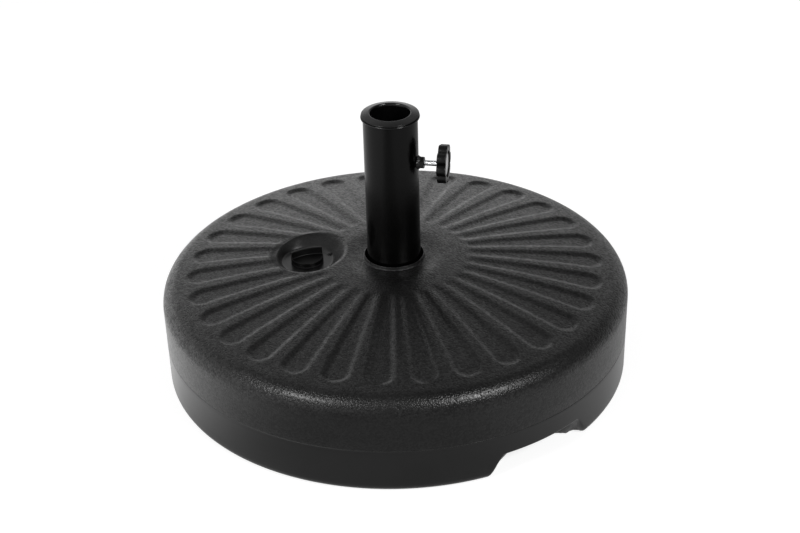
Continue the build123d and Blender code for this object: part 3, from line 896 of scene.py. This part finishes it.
# The chamfered hexagon from its face up to its seat, drawn in to the axis at both ends.
def boltHead():
    angle = np.linspace(0, fullTurn, 121)
    depth = np.array([*bolt["chamferRows"], bolt["headHeight"]])[:, None]
    reach = np.vstack([0 * angle, chamferedHex(bolt["width"], bolt, depth, angle), 0 * angle])
    height = boltLow[2] + np.vstack([depth[:1], depth, depth[-1:]]) + 0 * angle
    return np.stack([reach * np.cos(angle), reach * np.sin(angle), height], -1)


# A rod with a round end, turned about the upright axis.
def boltShank():
    seat, end = boltLow[2] + bolt["headHeight"] - bolt["shankLap"], boltHigh[2]
    rod = [(0, seat, 0), (bolt["shank"], seat, 0), (bolt["shank"], end, bolt["endRound"]), (0, end, 0)]
    return spin(outline(rod, closed=False), 48)


makePiece("baseBolt", [boltHead(), boltShank()], zincBright, "base", ["base_bolt"], sharp=30)

# Solids that stay as they are get the same finishes.
keptSolids = {"tube_end_plate": paintBlack, "end_plate_nut": zincBright, "base_washer": zincBright,
              "pole_seat": collarBlack}
for node, finish in keptSolids.items():
    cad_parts[node].data.materials.clear()
    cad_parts[node].data.materials.append(finish)
print("pieces made")

# Studio: a pale floor that shows white to the camera but keeps the shadow, a sky that is bright low down and
# to the left, and two soft boxes in front.
studio = dict(
    floorHalf=6.0, floorShade=0.37, cameraLift=0.78, glossLeft=0.58, glossRight=0.20, glossSide=0.3,
    glossFront=(-0.35, 0.15), skyTilt=0.80, skyBack=0.12,
    skyStops=[(0.0, 0.84), (0.24, 0.67), (0.5, 0.31), (0.7, 0.45), (0.9, 0.27)],
    target=(0, 0, 0.1), lampDistance=2.2, lampSize=(0.7, 0.5),
)
lamps = dict(leftBox=dict(azimuth=-126.0, elevation=36.0, level=17.0),
             rightBox=dict(azimuth=-39.0, elevation=36.0, level=25.0))


# The unit vector that points out at an azimuth and an elevation in degrees.
def outwardFrom(azimuth, elevation):
    azimuth, elevation = math.radians(azimuth), math.radians(elevation)
    flat = math.cos(elevation)
    return Vector((flat * math.cos(azimuth), flat * math.sin(azimuth), math.sin(elevation)))


# 1 where the camera looks at it, also through something clear, and 0 for every other ray
def seenBy(board, rays):
    return Wire(board, rays["Is Camera Ray"]).most(Wire(board, rays["Is Transmission Ray"]))


# In reflections a painted glow lights the floor to the left; in front of the tank's middle it is painted
# shade.
def studioFloor():
    half, side = studio["floorHalf"], studio["glossSide"]
    mesh = bpy.data.meshes.new("studioFloor")
    corners = [(-half, -half, 0), (half, -half, 0), (half, half, 0), (-half, half, 0)]
    mesh.from_pydata(corners, [], [(0, 1, 2, 3)])
    finish, board = newFinish("floorPaper")
    x, y = board.split(board.place())[:2]
    rays = board.node("ShaderNodeLightPath").socket.node.outputs
    level = studio["glossLeft"] + (studio["glossRight"] - studio["glossLeft"]) * x.rise(-side, side)
    lit = y.rise(*studio["glossFront"]).most((x * x).rise(0.0, side**2))
    # painted light and shade: a glow that only glossy rays see, brighter to the left and left out in front
    mirrored = Wire(board, rays["Is Glossy Ray"]) * level * lit
    strength = seenBy(board, rays) * studio["cameraLift"] + mirrored
    glow = board.node("ShaderNodeEmission", {}, {"Strength": strength})
    paper = board.node("ShaderNodeBsdfDiffuse", {}, {"Color": grey(studio["floorShade"])})
    both = board.node("ShaderNodeAddShader", {}, {0: glow, 1: paper})
    outlet = board.tree.nodes.new("ShaderNodeOutputMaterial")
    board.tree.links.new(both.socket, outlet.inputs["Surface"])
    mesh.materials.append(finish)
    floor = bpy.data.objects.new("studioFloor", mesh)
    scene.collection.objects.link(floor)


# White to the camera; its light follows the height's stops and tilts to the left and the back.
def studioSky():
    world = bpy.data.worlds.new("studioSky")
    world.use_nodes = True
    scene.world = world
    board = Board(world.node_tree)
    x, y, z = board.split(board.node("ShaderNodeTexCoord", output="Generated"))
    sky = board.node("ShaderNodeValToRGB", {"stops": studio["skyStops"]}, {"Fac": z})
    seen = seenBy(board, board.node("ShaderNodeLightPath").socket.node.outputs)
    strength = (1 - studio["skyTilt"] * x + studio["skyBack"] * y) * (1 - seen) + seen
    shade = board.mixColour(seen, sky, grey(1.0))
    light = board.node("ShaderNodeBackground", {}, {"Color": shade, "Strength": strength})
    outlet = board.tree.nodes.new("ShaderNodeOutputWorld")
    board.tree.links.new(light.socket, outlet.inputs["Surface"])


# A lamp's energy is its level as seen times pi times its area.
def softBox(name, azimuth, elevation, level):
    lamp = bpy.data.lights.new(name, "AREA")
    lamp.shape = "RECTANGLE"
    lamp.size, lamp.size_y = studio["lampSize"]
    lamp.energy = level * math.pi * lamp.size * lamp.size_y
    holder = bpy.data.objects.new(name, lamp)
    scene.collection.objects.link(holder)
    outward = outwardFrom(azimuth, elevation)
    holder.location = Vector(studio["target"]) + studio["lampDistance"] * outward
    holder.rotation_euler = outward.to_track_quat("Z", "Y").to_euler()


# The view fitted to the photograph: its own image size, focal length and middle are in pixels.
view = dict(azimuth=-79.2, elevation=30.55, roll=1.751, distance=2.1,
            imageSize=(800, 533), focal=1948.5, middle=(395.006, 279.099), sensor=36.0)


def studioCamera():
    camera = bpy.data.cameras.new("photoView")
    width, height = view["imageSize"]
    camera.sensor_width = view["sensor"]
    camera.lens = view["focal"] * view["sensor"] / width
    camera.shift_x = (width / 2 - view["middle"][0]) / width
    camera.shift_y = (view["middle"][1] - height / 2) / width
    outward = outwardFrom(view["azimuth"], view["elevation"])
    roll = math.radians(view["roll"])
    level = Vector((0, 0, 1)).cross(outward).normalized()
    upward = outward.cross(level)
    right = math.cos(roll) * level - math.sin(roll) * upward
    top = math.sin(roll) * level + math.cos(roll) * upward
    holder = bpy.data.objects.new("photoView", camera)
    scene.collection.objects.link(holder)
    axes = Matrix((right, top, outward)).transposed().to_4x4()
    holder.matrix_world = Matrix.Translation(Vector(studio["target"]) + view["distance"] * outward) @ axes
    scene.camera = holder


studioFloor()
studioSky()
for name, lamp in lamps.items():
    softBox(name, **lamp)
studioCamera()
print("studio made")
